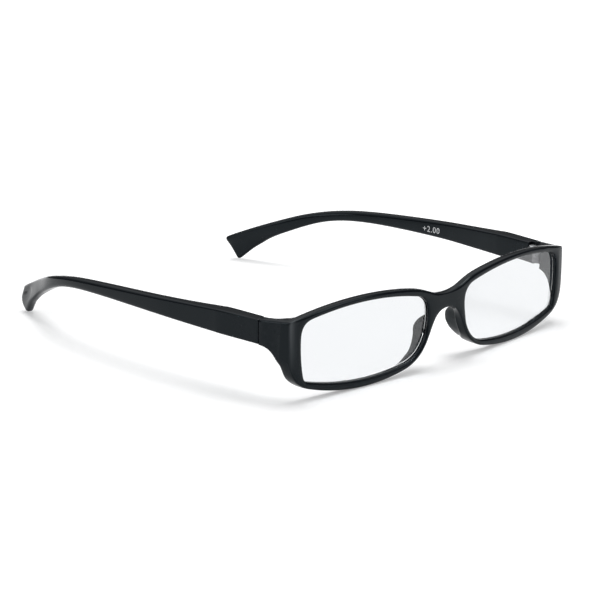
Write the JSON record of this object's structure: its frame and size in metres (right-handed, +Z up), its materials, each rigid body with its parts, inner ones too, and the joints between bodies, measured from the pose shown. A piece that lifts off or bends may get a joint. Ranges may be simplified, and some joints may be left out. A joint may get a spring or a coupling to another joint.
{
  "type": "reading glasses",
  "caption": "Full-rim reading glasses: moulded front with clear lenses and nose pads, and hooked temples on sprung hinges that fold behind the front.",
  "frame": {"origin": "middle of the bounding box's bottom face, at the table", "axes": "+X to the wearer's left, +Y from the front back along the temples, +Z up; the front faces -Y"},
  "size_m": [0.1454, 0.145, 0.0295],
  "materials": {
    "frame_plastic": "polished black injection moulding",
    "lens": "clear, polished, very faint cool tint",
    "hinge_metal": "dark nickel plate, satin",
    "screw_steel": "bright turned steel",
    "case_steel": "satin steel",
    "collar_brass": "satin brass",
    "spring_steel": "bright drawn wire"
  },
  "bodies": {
    "front": {"front_frame": "frame_plastic", "right_lens": "lens", "left_lens": "lens", "right_front_hinge": "hinge_metal", "left_front_hinge": "hinge_metal", "right_hinge_screw": "screw_steel", "left_hinge_screw": "screw_steel"},
    "left_slider": {"left_hinge_slider": "hinge_metal", "left_rod_nut": "screw_steel"},
    "left_temple_body": {"left_temple": "frame_plastic", "left_spring_case": "case_steel", "left_spring_collar": "collar_brass", "left_flex_spring": "spring_steel"},
    "right_slider": {"right_hinge_slider": "hinge_metal", "right_rod_nut": "screw_steel"},
    "right_temple_body": {"right_temple": "frame_plastic", "right_spring_case": "case_steel", "right_spring_collar": "collar_brass", "right_flex_spring": "spring_steel"}
  },
  "joints": [
    {"name": "left_fold", "type": "hinge", "parent": "front", "child": "left_slider", "pos_m": [0.0664, -0.05537, 0.0214], "axis": [0, 0, 1], "range_deg": [0, 86]},
    {"name": "left_spring_slide", "type": "slide", "parent": "left_slider", "child": "left_temple_body", "axis": [0, 1, 0], "range_m": [0, 0.001], "stiffness_N_per_m": 500, "springref_m": -0.003, "deforming": ["left_flex_spring"]},
    {"name": "right_fold", "type": "hinge", "parent": "front", "child": "right_slider", "pos_m": [-0.0664, -0.05537, 0.0214], "axis": [0, 0, -1], "range_deg": [0, 80]},
    {"name": "right_spring_slide", "type": "slide", "parent": "right_slider", "child": "right_temple_body", "axis": [0, 1, 0], "range_m": [0, 0.001], "stiffness_N_per_m": 500, "springref_m": -0.003, "deforming": ["right_flex_spring"]}
  ]
}
